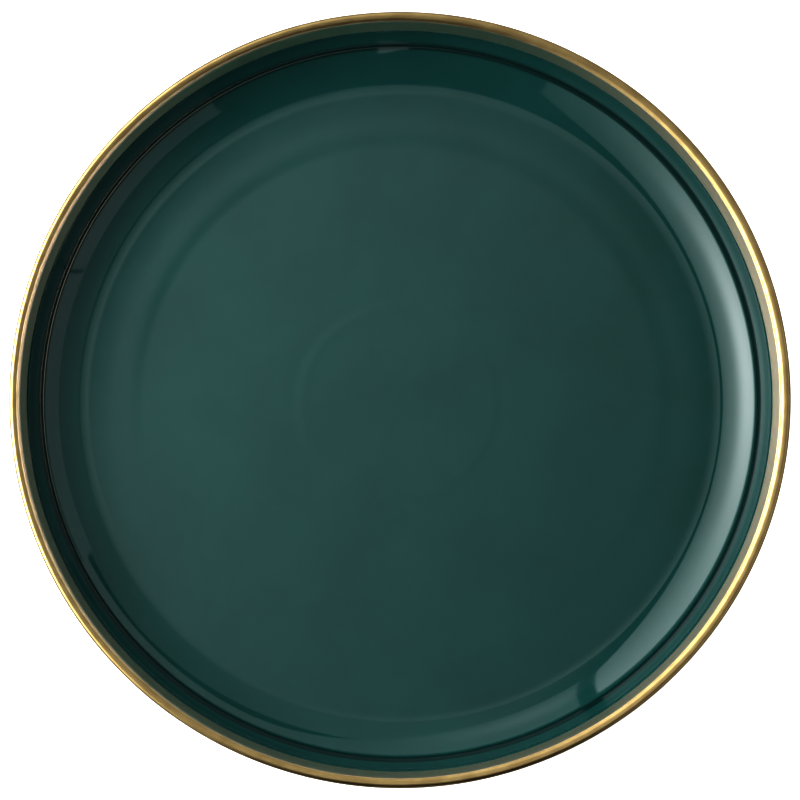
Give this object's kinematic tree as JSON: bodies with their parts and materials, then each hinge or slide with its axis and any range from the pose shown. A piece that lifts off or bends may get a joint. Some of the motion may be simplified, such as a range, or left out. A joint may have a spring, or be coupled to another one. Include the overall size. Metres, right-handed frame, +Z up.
{
  "type": "dinner plate",
  "caption": "Round china dinner plate with a flat, steep-walled well, a softly squared lip banded in gold, a deep green gloss glaze and a low foot ring left bare where it stands.",
  "frame": {"origin": "centre of the plane that the foot ring stands on", "axes": "+Z up along the axis that the plate was turned about; +X and +Y are any two level directions, as the plate is the same all round"},
  "size_m": [0.26, 0.26, 0.029],
  "materials": {
    "fired_clay": "satin",
    "green_gloss_glaze": "gloss",
    "green_base_glaze": "gloss",
    "fired_gold": "satin"
  },
  "bodies": {
    "root": {"fired_body": "fired_clay", "green_glaze": "green_gloss_glaze", "base_glaze": "green_base_glaze", "gold_band": "fired_gold"}
  },
  "joints": []
}
